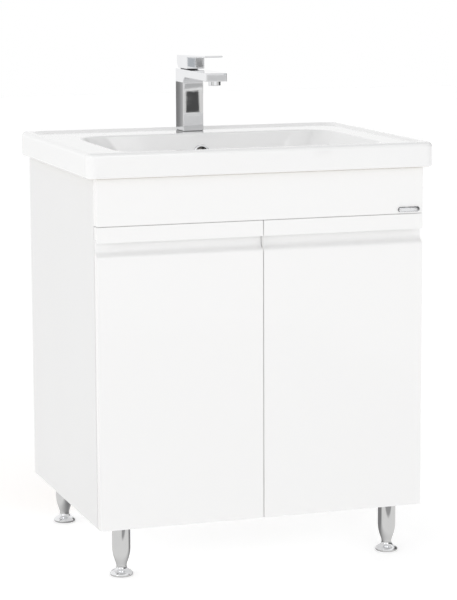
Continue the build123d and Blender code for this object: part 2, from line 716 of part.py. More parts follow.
with BuildPart() as tap_body:
    block((-column_half, column_half), (column_front, column_back), (tap_base, spout_top))
    block((-column_half, column_half), (spout_front, column_front), (spout_under, spout_top))
    inner_corner = tap_body.edges().filter_by(Axis.X).sort_by_distance(
        (0, column_front, spout_under))[0]
    fillet(inner_corner, radius=12)
    fillet(tap_body.edges().filter_by(Axis.Z), radius=1.6)
    fillet(tap_body.faces().sort_by(Axis.Z)[-1].edges(), radius=1.0)
    bar((0, tap_y, tap_base + 44), (0, 0, 1), 100, cartridge_radius + 0.1,
        mode=Mode.SUBTRACT)
    bar((0, aerator_y, spout_under - 1), (0, 0, 1), 8, 10.5, mode=Mode.SUBTRACT)
    for sign in sides.values():
        bar((9 * sign, tap_y - 4, tap_base), (0, 0, 1), inlet_depth, inlet_radius,
            mode=Mode.SUBTRACT)
    bar((0, stud_y, tap_base), (0, 0, 1), 12, tap_stud, mode=Mode.SUBTRACT)
tap_body.part.label = "tap_body"
export_step(tap_body.part, "parts/tap_body.step")

with BuildPart() as tap_base_gasket:
    rounded_slab((-column_half + 0.8, column_half - 0.8),
                 (column_front + 0.8, column_back - 0.8), (deck, tap_base), 2)
    bar((0, tap_y, deck), (0, 0, 1), gasket_height, 16, mode=Mode.SUBTRACT)
tap_base_gasket.part.label = "tap_base_gasket"
export_step(tap_base_gasket.part, "parts/tap_base_gasket.step")

with BuildPart() as tap_aerator:
    turned([(7.5, spout_under - 8), (11, spout_under - 8), (aerator_radius, spout_under - 7),
            (aerator_radius, spout_under), (10.4, spout_under), (10.4, spout_under + 6),
            (0, spout_under + 6), (0, spout_under - 5), (7.5, spout_under - 5)], 0, aerator_y)
    with BuildSketch(Plane.XY.offset(spout_under - 5)) as mesh_holes:
        with Locations((0, aerator_y)):
            with PolarLocations(5, 8):
                Circle(1.0)
            with PolarLocations(2.4, 4):
                Circle(0.8)
    extrude(mesh_holes.sketch, amount=2, mode=Mode.SUBTRACT)
tap_aerator.part.label = "tap_aerator"
export_step(tap_aerator.part, "parts/tap_aerator.step")

spindle_radius = 5.0
with BuildPart() as tap_cartridge:
    bar((0, tap_y, tap_base + 44), (0, 0, 1), cartridge_top - tap_base - 44, cartridge_radius)
    bar((0, tap_y, cartridge_top - 12), (0, 0, 1), 12, spindle_radius + 0.05,
        mode=Mode.SUBTRACT)
tap_cartridge.part.label = "tap_cartridge"
export_step(tap_cartridge.part, "parts/tap_cartridge.step")

with BuildPart() as tap_stem:
    bar((0, tap_y, cartridge_top - 11), (0, 0, 1), 11.3, spindle_radius)
    bar((0, tap_y, cartridge_top + 0.3), (0, 0, 1), stem_top - cartridge_top - 0.3, 16.8)
    block((-8, 8), (door_face + 421, door_face + 448), (stem_top - 1, tilt_z + 4.5))
    bar((-8, tilt_y, tilt_z), (1, 0, 0), 16, tilt_pin + 0.05, mode=Mode.SUBTRACT)
tap_stem.part.label = "tap_stem"
export_step(tap_stem.part, "parts/tap_stem.step")

plate_thickness = 3.2
plate_rise = 6.0
heel_chamfer = 8.5           # clears the tap's top when the lever is lifted
with BuildPart() as tap_lever:
    with BuildSketch(Plane.YZ.offset(-lever_half)):
        with BuildLine():
            Polyline((lever_front, lever_under), (column_back - heel_chamfer, lever_under),
                     (column_back, lever_under + heel_chamfer), (column_back, lever_top),
                     (lever_plate_front, lever_top + plate_rise),
                     (lever_plate_front, lever_top + plate_rise - plate_thickness),
                     (lever_front, lever_top - 2.0), close=True)
        make_face()
    extrude(amount=2 * lever_half)
    fillet(tap_lever.edges().filter_by(Axis.X), radius=0.9)
    fillet(tap_lever.faces().filter_by(Axis.X).edges(), radius=0.6)
    block((-11, 11), (lever_front + 5, column_back - 4.5), (lever_under - 1, tilt_z + 11),
          mode=Mode.SUBTRACT)
    bar((-12.5, tilt_y, tilt_z), (1, 0, 0), 25, tilt_pin, mode=Mode.SUBTRACT)
tap_lever.part.label = "tap_lever"
export_step(tap_lever.part, "parts/tap_lever.step")

with BuildPart() as tap_lever_pin:
    bar((-12.5, tilt_y, tilt_z), (1, 0, 0), 25, tilt_pin)
tap_lever_pin.part.label = "tap_lever_pin"
export_step(tap_lever_pin.part, "parts/tap_lever_pin.step")

clamp_top = deck_under - 2
with BuildPart() as tap_shank:
    bar((0, stud_y, clamp_top - 32), (0, 0, 1), tap_base + 12 - clamp_top + 32, tap_stud)
tap_shank.part.label = "tap_shank"
export_step(tap_shank.part, "parts/tap_shank.step")

# Horseshoe washer: open to the front so that the supply hoses can pass.
with BuildPart() as tap_clamp_washer:
    bar((0, tap_y, clamp_top - 1.5), (0, 0, 1), 3.5, 24)
    bar((0, tap_y - 4, clamp_top - 2.5), (0, 0, 1), 6, 15.5, mode=Mode.SUBTRACT)
    block((-15.5, 15.5), (tap_y - 26, tap_y - 4), (clamp_top - 2.5, clamp_top + 2.5),
          mode=Mode.SUBTRACT)
    block((-7, 7), (stud_y - 7, stud_y + 9), (clamp_top - 1.5, clamp_top + 2))
    bar((0, stud_y, clamp_top - 2.5), (0, 0, 1), 6, tap_stud, mode=Mode.SUBTRACT)
tap_clamp_washer.part.label = "tap_clamp_washer"
export_step(tap_clamp_washer.part, "parts/tap_clamp_washer.step")

with BuildPart() as tap_clamp_nut:
    with BuildSketch(Plane.XY.offset(clamp_top - 8)):
        with Locations((0, stud_y)):
            RegularPolygon(7.5, 6)
            Circle(tap_stud, mode=Mode.SUBTRACT)
    extrude(amount=6.5)
tap_clamp_nut.part.label = "tap_clamp_nut"
export_step(tap_clamp_nut.part, "parts/tap_clamp_nut.step")
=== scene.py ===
import json
import math

import bmesh
import bpy
from mathutils import Matrix, Vector


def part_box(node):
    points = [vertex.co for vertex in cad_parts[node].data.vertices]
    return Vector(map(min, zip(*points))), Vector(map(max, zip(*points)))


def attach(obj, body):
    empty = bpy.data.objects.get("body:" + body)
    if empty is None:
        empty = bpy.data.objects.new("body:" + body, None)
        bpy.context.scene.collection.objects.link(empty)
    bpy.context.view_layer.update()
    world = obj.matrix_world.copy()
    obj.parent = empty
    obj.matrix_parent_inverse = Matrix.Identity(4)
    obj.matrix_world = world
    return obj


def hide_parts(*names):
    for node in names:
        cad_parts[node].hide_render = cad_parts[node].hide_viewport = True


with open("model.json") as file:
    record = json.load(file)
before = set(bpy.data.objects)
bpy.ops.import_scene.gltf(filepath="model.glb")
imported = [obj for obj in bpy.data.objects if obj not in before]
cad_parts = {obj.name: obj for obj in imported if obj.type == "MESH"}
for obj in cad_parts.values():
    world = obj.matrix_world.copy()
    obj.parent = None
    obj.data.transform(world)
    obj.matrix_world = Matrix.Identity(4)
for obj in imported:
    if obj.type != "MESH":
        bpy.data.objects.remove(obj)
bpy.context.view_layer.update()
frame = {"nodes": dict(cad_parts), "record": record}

nodes = frame["nodes"]


cameraSettings = {"lens": 137.48, "yaw": 18.51, "pitch": 9.06, "roll": -0.23,
                  "place": (-1.3454, -4.0585, 1.1407), "sensor": 36, "clip": (0.1, 60)}


def makeCamera(settings):
    yaw, pitch, roll = (math.radians(settings[k]) for k in ("yaw", "pitch", "roll"))
    ahead = Vector((math.sin(yaw) * math.cos(pitch), math.cos(yaw) * math.cos(pitch),
                    -math.sin(pitch)))
    right = Vector((math.cos(yaw), -math.sin(yaw), 0))
    up = right.cross(ahead)
    rolledRight = right * math.cos(roll) + up * math.sin(roll)
    rolledUp = up * math.cos(roll) - right * math.sin(roll)
    data = bpy.data.cameras.new("camera")
    data.sensor_width = settings["sensor"]
    data.lens = settings["lens"]
    data.clip_start, data.clip_end = settings["clip"]
    camera = bpy.data.objects.new("camera", data)
    turn = Matrix((rolledRight, rolledUp, -ahead)).transposed()
    camera.matrix_world = Matrix.Translation(settings["place"]) @ turn.to_4x4()
    bpy.context.scene.collection.objects.link(camera)
    bpy.context.scene.camera = camera


def areaLight(name, place, target, size, watts):
    data = bpy.data.lights.new(name, "AREA")
    data.size = size
    data.energy = watts
    light = bpy.data.objects.new(name, data)
    light.location = place
    light.rotation_euler = (Vector(target) - Vector(place)).to_track_quat("-Z", "Y").to_euler()
    bpy.context.scene.collection.objects.link(light)


def meshObject(name, build):
    mesh = bpy.data.meshes.new(name)
    work = bmesh.new()
    build(work)
    work.to_mesh(mesh)
    work.free()
    made = bpy.data.objects.new(name, mesh)
    bpy.context.scene.collection.objects.link(made)
    return made


class Wire:
    # a node's output, with Python's operators for numbers
    def __init__(self, finish, socket):
        self.finish, self.socket = finish, socket

    def sums(self, operation, *values):
        return self.finish.add("ShaderNodeMath", {"operation": operation},
                               dict(enumerate(values)))

    def __add__(self, other): return self.sums("ADD", self, other)
    def __radd__(self, other): return self.sums("ADD", other, self)
    def __sub__(self, other): return self.sums("SUBTRACT", self, other)
    def __rsub__(self, other): return self.sums("SUBTRACT", other, self)
    def __mul__(self, other): return self.sums("MULTIPLY", self, other)
    def __rmul__(self, other): return self.sums("MULTIPLY", other, self)
    def __neg__(self): return self.sums("MULTIPLY", self, -1.0)
    def __gt__(self, other): return self.sums("GREATER_THAN", self, other)
    def __lt__(self, other): return self.sums("LESS_THAN", self, other)

    def ease(self, low, high):
        return self.finish.add("ShaderNodeMapRange", {"interpolation_type": "SMOOTHSTEP"},
                               {"Value": self, "From Min": low, "From Max": high})

    def other(self, name):
        return Wire(self.finish, self.socket.node.outputs[name])


class Wiring:
    # one node tree; add() makes any node from a type, settings and sockets
    def __init__(self, tree, coordinates=None):
        self.tree = tree
        tree.nodes.clear()
        if coordinates:
            self.place = self.add("ShaderNodeTexCoord", {}, {}, out=coordinates)

    def add(self, kind, settings, sockets, out=0):
        node = self.tree.nodes.new(kind)
        for key, value in settings.items():
            setattr(node, key, value)
        for key, value in sockets.items():
            if isinstance(value, Wire):
                self.tree.links.new(value.socket, node.inputs[key])
            else:
                node.inputs[key].default_value = value
        return None if out is None else Wire(self, node.outputs[out])

    def axis(self, letter):
        return self.add("ShaderNodeSeparateXYZ", {}, {0: self.place}, out=letter)


class Finish(Wiring):
    # one material round a principled shader
    def __init__(self, name, **fixed):
        self.material = bpy.data.materials.new(name)
        self.material.use_nodes = True
        super().__init__(self.material.node_tree, "Object")
        self.shader = self.add("ShaderNodeBsdfPrincipled", {}, {}).socket.node
        self.add("ShaderNodeOutputMaterial", {}, {"Surface": Wire(self, self.shader.outputs[0])},
                 out=None)
        for key, value in fixed.items():
            self.shader.inputs[key.replace("_", " ")].default_value = value

    def feed(self, **wires):
        for key, wire in wires.items():
            self.tree.links.new(wire.socket, self.shader.inputs[key.replace("_", " ")])
        return self.material

    def stretched(self, x, y, z):
        return self.add("ShaderNodeMapping", {}, {"Vector": self.place, "Scale": (x, y, z)})

    def facing(self, letter):
        normal = self.add("ShaderNodeTexCoord", {}, {}, out="Normal")
        return self.add("ShaderNodeSeparateXYZ", {}, {0: normal}, out=letter)

    def noise(self, scale, detail=2.0, rough=0.5, place=None, seedShift=0.0):
        where = place or self.place
        if seedShift:
            where = self.add("ShaderNodeVectorMath", {"operation": "ADD"},
                             {0: where, 1: (seedShift,) * 3})
        return self.add("ShaderNodeTexNoise", {}, {"Vector": where, "Scale": scale,
                        "Detail": detail, "Roughness": rough}, out=0)

    def cells(self, scale, out="Distance", place=None):
        return self.add("ShaderNodeTexVoronoi", {}, {"Vector": place or self.place,
                        "Scale": scale}, out=out)

    def blend(self, factor, first, second):
        return self.add("ShaderNodeMix", {"data_type": "RGBA"},
                        {0: factor, 6: first, 7: second}, out=2)

    def bump(self, height, distance, strength=1.0, over=None):
        sockets = {"Height": height, "Distance": distance, "Strength": strength}
        if over:
            sockets["Normal"] = over
        return self.add("ShaderNodeBump", {}, sockets)


def shade(grey, warm=0.0):
    return (grey * (1 + warm), grey, grey * (1 - warm), 1)


lacquerLook = {"base": 0.935, "tint": 0.003, "roughness": 0.24, "coat": 0.42,
               "clouds": 5, "haze": 22, "dust": 60, "dustSize": 0.03,
               "peel": 0.000006, "peelScale": 340, "finePeelScale": 1400}


def lacquer(look):
    # sprayed and polished board: orange peel, faint clouding, fine dust nibs
    finish = Finish("lacquered_board", IOR=1.5, Coat_Roughness=0.06)
    cloud = finish.noise(look["clouds"], 3)
    haze = finish.noise(look["haze"], 4, 0.6, seedShift=3.1)
    nibs = finish.cells(look["dust"]) < look["dustSize"]
    colour = finish.blend(cloud, shade(look["base"] * 0.997, look["tint"]),
                          shade(look["base"] * 1.003, look["tint"] * 0.4))
    colour = finish.blend(nibs * 0.25, colour, shade(look["base"] * 0.93, 0.01))
    peel = finish.noise(look["peelScale"], 2, 0.5) + finish.noise(look["finePeelScale"], 1) * 0.25
    return finish.feed(Base_Color=colour, Roughness=look["roughness"] + haze * 0.04,
                       Coat_Weight=look["coat"] + cloud * 0.04,
                       Normal=finish.bump(peel, look["peel"], 0.7))


boardLook = {"face": 0.84, "core": (0.50, 0.36, 0.22, 1), "paleChip": (0.68, 0.53, 0.35, 1),
             "gap": (0.22, 0.14, 0.08, 1), "roughness": 0.42, "rearEdge": 0.2485,
             "pearl": 900, "chips": 330, "chipShape": (1, 1, 2.2)}


def facedBoard(look):
    # melamine-faced chipboard: pearl texture on the faces, raw core on the rear edges
    finish = Finish("faced_board", IOR=1.5)
    pearl = finish.noise(look["pearl"], 3, 0.6)
    cloud = finish.noise(7, 3)
    chips = finish.cells(look["chips"], "Color", finish.stretched(*look["chipShape"]))
    chipTone = finish.add("ShaderNodeSeparateColor", {}, {0: chips}, out=0)
    gaps = finish.cells(look["chips"], "Distance", finish.stretched(*look["chipShape"]))
    core = finish.blend(chipTone, look["core"], look["paleChip"])
    core = finish.blend(gaps.ease(0.35, 0.75) * 0.7, core, look["gap"])
    raw = finish.facing("Y").ease(0.9, 0.99) * (finish.axis("Y") > look["rearEdge"])
    face = finish.blend(cloud, shade(look["face"] * 0.985, 0.003), shade(look["face"]))
    height = pearl * (1 - raw) + gaps * raw * 5
    return finish.feed(Base_Color=finish.blend(raw, face, core),
                       Roughness=look["roughness"] + pearl * 0.1 + raw * 0.35,
                       Normal=finish.bump(height, 0.00004, 0.6))


backingLook = {"dark": (0.34, 0.205, 0.105, 1), "light": (0.50, 0.33, 0.19, 1),
               "fleck": (0.20, 0.115, 0.06, 1), "roughness": 0.42, "depth": 0.00012,
               "fibres": 260, "flecks": 900, "weave": 520}


def thinBacking(look):
    # white-lacquered hardboard: brown and fibrous on the wall side
    finish = Finish("thin_backing", IOR=1.48)
    fibre = finish.noise(look["fibres"], 6, 0.75, finish.stretched(1, 1, 3.5))
    fleck = finish.noise(look["flecks"], 2, 0.6, seedShift=7.7)
    weave = finish.cells(look["weave"])
    rear = finish.facing("Y").ease(0.5, 0.9)
    brown = finish.blend(fibre, look["dark"], look["light"])
    brown = finish.blend(fleck.ease(0.58, 0.7) * 0.5, brown, look["fleck"])
    white = finish.blend(finish.noise(9, 3), shade(0.81, 0.006), shade(0.835, 0.002))
    return finish.feed(Base_Color=finish.blend(rear, white, brown),
                       Roughness=look["roughness"] + rear * 0.33 + fibre * 0.08,
                       Normal=finish.bump(fibre * 0.3 + weave * 0.7 * rear + fleck * 0.2,
                                          look["depth"], 0.5))


overflowLook = {"centre": (0.0, 0.118756, 0.727), "slope": 10 / 39, "bore": 0.0142,
                "boreStart": 0.0004, "ring": 0.0127, "ringStart": -0.0012, "end": 0.04}


def overflowShade(finish, radius, depth):
    # 1 on what lies inside the overflow, deeper than depth behind the bowl's rear wall; this is
    # where painted shadow darkens the overflow
    x, y, z = (finish.axis(letter) - middle
               for letter, middle in zip("XYZ", overflowLook["centre"]))
    lean = math.hypot(1, overflowLook["slope"])
    deep = (y - z * overflowLook["slope"]) * (1 / lean)
    aside = x * x + y * y + z * z - deep * deep
    return (aside < radius ** 2) * (deep > depth) * (deep < overflowLook["end"])


ceramicLook = {"glaze": 0.925, "bisque": (0.80, 0.76, 0.69, 1),
               "darkBisque": (0.71, 0.665, 0.59, 1), "roughness": 0.07, "depth": 0.0003,
               "waves": 9, "ripples": 55, "pinholes": 75, "pinholeSize": 0.018, "grain": 700}


def ceramic(look):
    # glazed fireclay: slow waves in the glaze, pinholes, raw clay underneath, painted shadow
    # inside the overflow bore
    finish = Finish("ceramic", IOR=1.54, Coat_Roughness=0.03, Coat_IOR=1.5)
    wave = finish.noise(look["waves"], 2, 0.4)
    ripple = finish.noise(look["ripples"], 2, 0.4, seedShift=1.9)
    pinholes = finish.cells(look["pinholes"]) < look["pinholeSize"]
    grain = finish.noise(look["grain"], 4, 0.7)
    raw = (-finish.facing("Z")).ease(0.75, 0.97)
    glaze = finish.blend(wave, shade(look["glaze"] * 0.99, 0.002), shade(look["glaze"], -0.001))
    glaze = finish.blend(pinholes * 0.35, glaze, shade(0.62, 0.02))
    clay = finish.blend(grain, look["bisque"], look["darkBisque"])
    bumpHeight = wave + ripple * 0.12
    # painted shadow: the glaze inside the overflow bore is coloured near-black in place of the
    # shade in the hole
    paintedHoleShade = overflowShade(finish, overflowLook["bore"], overflowLook["boreStart"])
    glaze = finish.blend(raw, glaze, clay)
    return finish.feed(Base_Color=finish.blend(paintedHoleShade, glaze, shade(0.035, 0.05)),
                       Roughness=look["roughness"] + ripple * 0.03 + raw * 0.6,
                       Coat_Weight=0.5 - raw * 0.5,
                       Normal=finish.bump(grain * raw, look["depth"], 0.6,
                                          finish.bump(bumpHeight, look["depth"], 0.3)))


chromeLook = {"light": (0.86, 0.865, 0.875, 1), "dark": (0.79, 0.795, 0.81, 1),
              "roughness": 0.02, "wiping": 30, "drops": 140, "scratches": 60,
              "scratchShape": (1.0, 40, 14), "scratchDepth": 0.000006, "wipeDepth": 0.00004}


def chrome(look):
    # bright plate: wiping haze, dried drops, hairline scratches, painted shadow inside the
    # overflow ring
    finish = Finish("chrome_plate")
    wipe = finish.noise(look["wiping"], 4, 0.6)
    drops = finish.cells(look["drops"]).ease(0.06, 0.10)
    scratches = finish.noise(look["scratches"], 2, 0.6, finish.stretched(*look["scratchShape"]))
    colour = finish.blend(wipe, look["light"], look["dark"])
    rough = look["roughness"] + wipe.ease(0.45, 0.8) * 0.05 + (1 - drops) * 0.06
    # painted shadow: the plate inside the overflow ring's hole is coloured near-black
    paintedHoleShade = overflowShade(finish, overflowLook["ring"], overflowLook["ringStart"])
    colour = finish.blend(paintedHoleShade, colour, shade(0.03))
    return finish.feed(Base_Color=colour, Roughness=rough, Metallic=1.0 - (1 - drops) * 0.08,
                       Normal=finish.bump(scratches, look["scratchDepth"], 0.5,
                                          finish.bump(wipe, look["wipeDepth"], 0.3)))


def plainMetal(name, light, dark, roughness, brush, spangle=0.0):
    # zinc, brass or dark steel: brushed or turned, with cloudy plate
    finish = Finish(name)
    cloud = finish.noise(90, 4, 0.6)
    lines = finish.noise(220, 3, 0.6, finish.stretched(*brush))
    grains = finish.cells(300, "Color")
    tone = finish.add("ShaderNodeSeparateColor", {}, {0: grains}, out=0)
    colour = finish.blend(cloud * 0.6 + tone * spangle, light, dark)
    return finish.feed(Base_Color=colour, Roughness=roughness + lines * 0.16,
                       Metallic=1.0 - cloud.ease(0.66, 0.8) * 0.15,
                       Normal=finish.bump(lines, 0.00003, 0.5))


def moulded(name, light, dark, roughness, grainSize, grainDepth, **fixed):
    # plastic, rubber or sealant: moulded grain and slight mottling
    finish = Finish(name, **fixed)
    mottle = finish.noise(26, 4, 0.6)
    grain = finish.noise(grainSize, 3, 0.6)
    dust = finish.noise(420, 5, 0.75, seedShift=5.3).ease(0.6, 0.75)
    colour = finish.blend(mottle * 0.7 + dust * 0.3, light, dark)
    return finish.feed(Base_Color=colour, Roughness=roughness + grain * 0.12 + dust * 0.06,
                       Normal=finish.bump(grain, grainDepth, 0.6))


metalLooks = {
    "dark_metal": {"light": (0.20, 0.20, 0.21, 1), "dark": (0.12, 0.12, 0.13, 1),
                   "roughness": 0.25, "brush": (1, 1, 8)},
    "zinc_steel": {"light": (0.66, 0.67, 0.69, 1), "dark": (0.47, 0.49, 0.52, 1),
                   "roughness": 0.24, "brush": (0.4, 5, 1), "spangle": 0.4},
    "brass_parts": {"light": (0.80, 0.60, 0.30, 1), "dark": (0.62, 0.43, 0.18, 1),
                    "roughness": 0.22, "brush": (1, 1, 9), "spangle": 0.2},
}
mouldedLooks = {
    "soft_rubber": {"light": (0.030, 0.030, 0.032, 1), "dark": (0.060, 0.058, 0.056, 1),
                    "roughness": 0.55, "grainSize": 900, "grainDepth": 0.00003, "IOR": 1.5},
    "silicone": {"light": (0.62, 0.62, 0.60, 1), "dark": (0.55, 0.55, 0.53, 1),
                 "roughness": 0.35, "grainSize": 300, "grainDepth": 0.00006, "IOR": 1.42},
    "white_plastic": {"light": (0.80, 0.80, 0.79, 1), "dark": (0.74, 0.74, 0.725, 1),
                      "roughness": 0.26, "grainSize": 1300, "grainDepth": 0.000015, "IOR": 1.5},
}
finishes = {
    "lacquered_board": lacquer(lacquerLook),
    "faced_board": facedBoard(boardLook),
    "thin_backing": thinBacking(backingLook),
    "ceramic": ceramic(ceramicLook),
    "chrome_plate": chrome(chromeLook),
}
finishes.update({name: plainMetal(name, **look) for name, look in metalLooks.items()})
finishes.update({name: moulded(name, **look) for name, look in mouldedLooks.items()})
slots = {part["node"]: part["material_slot"] for part in frame["record"]["subparts"]}
for name, cad in nodes.items():
    cad.data.materials.clear()
    cad.data.materials.append(finishes[slots[name]])
print("finishes made:", len(finishes))


def ringOf(work, radius, z, sides):
    return [work.verts.new((radius * math.cos(math.tau * k / sides),
                            radius * math.sin(math.tau * k / sides), z)) for k in range(sides)]


def skin(work, rows):
    # quads between rings that have the same number of points
    for low, high in zip(rows, rows[1:]):
        for k in range(len(low)):
            after = (k + 1) % len(low)
            work.faces.new((low[k], low[after], high[after], high[k]))


def threadRows(work, radius, bottom, top, look):
    # rings whose radius follows a helix, so that together they are a screw thread
    depth, pitch, sides = (look[k] for k in ("thread", "pitch", "sides"))
    count = round((top - bottom) / pitch * look["ringsPerTurn"])
    rows = []
    for step in range(count + 1):
        z = bottom + (top - bottom) * step / count
        ring = ringOf(work, 1, z, sides)
        fine = min(1, 0.15 + (z - bottom) / look["tip"])
        for k, point in enumerate(ring):
            wave = abs(2 * ((z / pitch - k / sides) % 1) - 1)
            point.co.xy *= (radius - depth * wave) * fine
        rows.append(ring)
    return rows


screwLook = {"head": 0.0034, "height": 0.0018, "arm": 0.0022, "slotHalf": 0.0004,
             "recess": 0.0010, "shank": 0.0017, "thread": 0.00045, "pitch": 0.0016,
             "sides": 18, "tip": 0.003, "ringsPerTurn": 5,
             "headOnly": 0.008, "endBand": 0.0002, "seed": 11}
# the head's outline, as shares of its radius and height
headCurve = ((1, 0), (1, 0.35), (0.95, 0.62), (0.87, 0.85), (0.74, 1))


def screwModel(look, length):
    # pan-head screw that points down from z = 0, with a threaded shank and a cross recess
    def build(work):
        rows = []
        if length:
            rows = threadRows(work, look["shank"], -length, 0, look)
        rows += [ringOf(work, look["head"] * reach, look["height"] * rise, look["sides"])
                 for reach, rise in headCurve]
        skin(work, rows)
        work.faces.new(rows[0][::-1])
        cross = []
        for k in range(4):
            along = Vector((math.cos(k * math.pi / 2), math.sin(k * math.pi / 2), 0))
            across = Vector((-along.y, along.x, 0))
            half = look["slotHalf"]
            cross += [along * look["arm"] - across * half, along * look["arm"] + across * half,
                      (along + across) * half]
        mouth, floor = ([work.verts.new(point * shrink + Vector((0, 0, z))) for point in cross]
                        for shrink, z in ((1, look["height"]),
                                          (0.75, look["height"] - look["recess"])))
        skin(work, [mouth, floor])
        work.faces.new(floor)
        loops = []
        for loop in (rows[-1], mouth):
            loops += [work.edges.get((loop[k - 1], loop[k])) for k in range(len(loop))]
        bmesh.ops.triangle_fill(work, edges=loops, use_beauty=True)
        bmesh.ops.recalc_face_normals(work, faces=work.faces)
    return meshObject("screw_model", build)


def shapeTree(name, inputs):
    # a geometry tree with named inputs; returns its wiring and the wire of its first input
    tree = bpy.data.node_groups.new(name, "GeometryNodeTree")
    tree.interface.new_socket("Geometry", in_out="INPUT", socket_type="NodeSocketGeometry")
    tree.interface.new_socket("Geometry", in_out="OUTPUT", socket_type="NodeSocketGeometry")
    for label, kind in inputs.items():
        tree.interface.new_socket(label, in_out="INPUT", socket_type="NodeSocket" + kind)
    wiring = Wiring(tree)
    return wiring, wiring.add("NodeGroupInput", {}, {}, out="Geometry")


def finishTree(wiring, made, given):
    whole = wiring.add("GeometryNodeRealizeInstances", {}, {"Geometry": made})
    coated = wiring.add("GeometryNodeSetMaterial", {}, {"Geometry": whole,
                        "Material": given.other("Finish")})
    wiring.add("NodeGroupOutput", {}, {"Geometry": coated}, out=None)
    return wiring.tree


def screwTree():
    # one screw on every point, turned to the point's aim and by a fixed random amount
    wiring, given = shapeTree("place_screws", {"Screw": "Object", "Seed": "Int",
                                               "Finish": "Material"})
    model = wiring.add("GeometryNodeObjectInfo", {}, {"Object": given.other("Screw")},
                       out="Geometry")
    aim = wiring.add("GeometryNodeInputNamedAttribute", {"data_type": "FLOAT_VECTOR"},
                     {"Name": "aim"})
    upright = wiring.add("FunctionNodeAlignRotationToVector", {"axis": "Z"}, {"Vector": aim})
    turn = wiring.add("FunctionNodeRandomValue", {"data_type": "FLOAT"},
                      {2: 0.0, 3: math.pi, 8: given.other("Seed")}, out=1)
    twist = wiring.add("FunctionNodeAxisAngleToRotation", {}, {"Angle": turn})
    turned = wiring.add("FunctionNodeRotateRotation", {"rotation_space": "LOCAL"},
                        {0: upright, 1: twist})
    placed = wiring.add("GeometryNodeInstanceOnPoints", {}, {"Points": given,
                        "Instance": model, "Rotation": turned})
    return finishTree(wiring, placed, given)


ribShape = {"sides": 8, "sunk": 0.35}


def ribTree(shape):
    # thin round ribs standing in a circle
    wiring, given = shapeTree("grip_ribs", {"Count": "Int", "Circle": "Float", "Rib": "Float",
                              "Height": "Float", "Centre": "Vector", "Lean": "Vector",
                              "Finish": "Material"})
    circle = wiring.add("GeometryNodeMeshCircle", {}, {"Vertices": given.other("Count"),
                        "Radius": given.other("Circle")})
    rib = wiring.add("GeometryNodeMeshCylinder", {}, {"Vertices": shape["sides"],
                     "Radius": given.other("Rib"), "Depth": given.other("Height")})
    placed = wiring.add("GeometryNodeInstanceOnPoints", {}, {"Points": circle, "Instance": rib})
    moved = wiring.add("GeometryNodeTransform", {}, {"Geometry": placed,
                       "Translation": given.other("Centre"), "Rotation": given.other("Lean")})
    return finishTree(wiring, moved, given)


def grown(piece, tree, values):
    # gives the piece the plain mesh that the tree makes
    maker = piece.modifiers.new("grow", "NODES")
    maker.node_group = tree
    for socket in tree.interface.items_tree:
        if socket.in_out == "INPUT" and socket.name in values:
            maker[socket.identifier] = values[socket.name]
    graph = bpy.context.evaluated_depsgraph_get()
    mesh = bpy.data.meshes.new_from_object(piece.evaluated_get(graph))
    piece.modifiers.clear()
    piece.data = mesh
    return piece


def islands(cad):
    # the separate solids of a node, each as its points
    work = bmesh.new()
    work.from_mesh(cad.data)
    bmesh.ops.remove_doubles(work, verts=work.verts, dist=1e-6)
    left = set(work.verts)
    found = []
    while left:
        group, edge = set(), [next(v for v in work.verts if v in left)]
        while edge:
            point = edge.pop()
            if point in left:
                left.discard(point)
                group.add(point)
                edge += [link.other_vert(point) for link in point.link_edges]
        found.append([v.co.copy() for v in sorted(group, key=lambda v: v.index)])
    work.free()
    return found


def screwPoints(cad, look):
    # seat and outward direction of each screw in a node, and its length under the head
    height = look["height"]
    seats = []
    for points in islands(cad):
        low = Vector(min(p[i] for p in points) for i in range(3))
        high = Vector(max(p[i] for p in points) for i in range(3))
        middle, size = (low + high) / 2, high - low
        short = max(size) < look["headOnly"]
        axis = min(range(3), key=lambda i: size[i]) if short else max(range(3),
                                                                     key=lambda i: size[i])
        spread = [max((p - middle).length for p in points
                      if abs(p[axis] - end[axis]) < look["endBand"]) for end in (low, high)]
        sign = 1 if spread[1] > spread[0] else -1
        if short:
            sign = -1 if middle[axis] > 0 else 1
        out = Vector(sign if i == axis else 0 for i in range(3))
        seat = middle + out * (size[axis] / 2 - height)
        seats.append((seat, out, 0 if short else size[axis] - height))
    return seats


def remakeScrews(cadName, body, look, placer):
    groups = {}
    for seat, out, length in screwPoints(nodes[cadName], look):
        groups.setdefault(round(length, 4), []).append((seat, out))
    parts = []
    for length, seats in groups.items():
        holder = meshObject(cadName + "_holder",
                            lambda work: [work.verts.new(seat) for seat, out in seats])
        aims = holder.data.attributes.new("aim", "FLOAT_VECTOR", "POINT")
        for k, (seat, out) in enumerate(seats):
            aims.data[k].vector = out
        model = screwModel(look, length)
        parts.append(grown(holder, placer, {"Screw": model, "Seed": look["seed"],
                                            "Finish": finishes[slots[cadName]]}))
        bpy.data.objects.remove(model)
    whole = parts[0]
    if len(parts) > 1:
        work = bmesh.new()
        for part in parts:
            work.from_mesh(part.data)
        work.to_mesh(whole.data)
        work.free()
        for part in parts[1:]:
            bpy.data.objects.remove(part)
    whole.name = cadName.replace("screws", "crosshead_screws")
    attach(whole, body)
    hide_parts(cadName)
    return len(whole.data.polygons)


placer = screwTree()
screwBodies = {"leg_plate_screws": "cabinet", "wall_plate_screws": "cabinet",
               "hinge_plate_screws": "cabinet", "hinge_cup_screws_left": "door_left",
               "hinge_cup_screws_right": "door_right"}
for cadName, body in screwBodies.items():
    print("screws remade:", cadName, remakeScrews(cadName, body, screwLook, placer), "faces")

